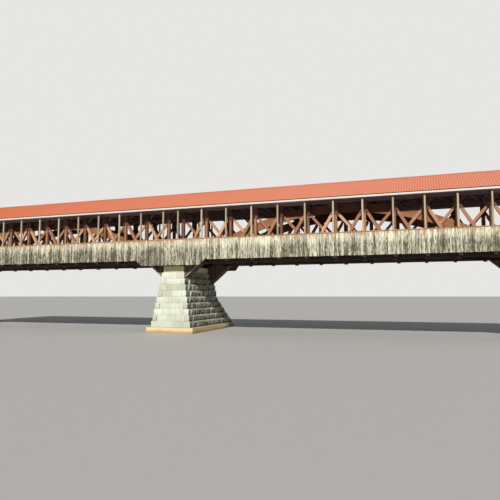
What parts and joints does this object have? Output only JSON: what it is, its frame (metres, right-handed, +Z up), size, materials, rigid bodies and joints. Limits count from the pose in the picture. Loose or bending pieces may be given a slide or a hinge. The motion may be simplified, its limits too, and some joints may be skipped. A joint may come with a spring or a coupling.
{
  "type": "covered timber bridge, scale model 1:2",
  "caption": "Covered timber bridge, half real size: arched braced trusses, vertical siding, ribbed metal gable roof, stepped stone pier with an ice breaker, and stone abutments.",
  "frame": {"origin": "middle of the pier's base, at the bridge's mid-length", "axes": "+X along the bridge, -Y towards the downstream side, +Z up"},
  "size_m": [34.2, 6.0607, 7.14],
  "materials": {
    "granite": "rock-faced grey granite ashlar",
    "concrete": "aged concrete, stained",
    "weathered_siding": "weathered unpainted boards with dark streaks",
    "brown_rail": "weathered brown plank",
    "grey_posts": "weathered pale timber",
    "truss_timber": "aged brown sawn timber",
    "laminated_arch": "laminated planks, aged brown",
    "deck_planks": "worn planks",
    "boxing_boards": "dark brown boards",
    "portal_boards": "weathered boards",
    "roof_metal": "faded red ribbed metal",
    "white_trim": "cream paint"
  },
  "bodies": {
    "root": {"abutment_caps": "concrete", "arch_foot_boxing": "boxing_boards", "back_bottom_chord": "truss_timber", "back_counterbraces": "truss_timber", "back_eave_posts": "grey_posts", "back_fascia": "white_trim", "back_main_braces": "truss_timber", "back_roof": "roof_metal", "back_siding": "weathered_siding", "back_siding_frame": "truss_timber", "back_top_chord": "truss_timber", "back_truss_posts": "truss_timber", "bolster_beams": "truss_timber", "eave_plates": "truss_timber", "floor_beams": "truss_timber", "front_bottom_chord": "truss_timber", "front_counterbraces": "truss_timber", "front_eave_posts": "grey_posts", "front_fascia": "white_trim", "front_main_braces": "truss_timber", "front_roof": "roof_metal", "front_siding": "weathered_siding", "front_siding_frame": "truss_timber", "front_top_chord": "truss_timber", "front_truss_posts": "truss_timber", "left_abutment": "granite", "left_back_arch": "laminated_arch", "left_front_arch": "laminated_arch", "left_gable": "portal_boards", "left_portal_jambs": "portal_boards", "lower_lateral_bracing": "truss_timber", "pier_cap": "concrete", "pier_footing": "concrete", "pier_stonework": "granite", "rafters": "truss_timber", "rake_boards": "white_trim", "ridge_cap": "roof_metal", "right_abutment": "granite", "right_back_arch": "laminated_arch", "right_front_arch": "laminated_arch", "right_gable": "portal_boards", "right_portal_jambs": "portal_boards", "roadway_deck": "deck_planks", "siding_cap_rails": "brown_rail", "tie_beams": "truss_timber", "upper_lateral_bracing": "truss_timber"}
  },
  "joints": []
}
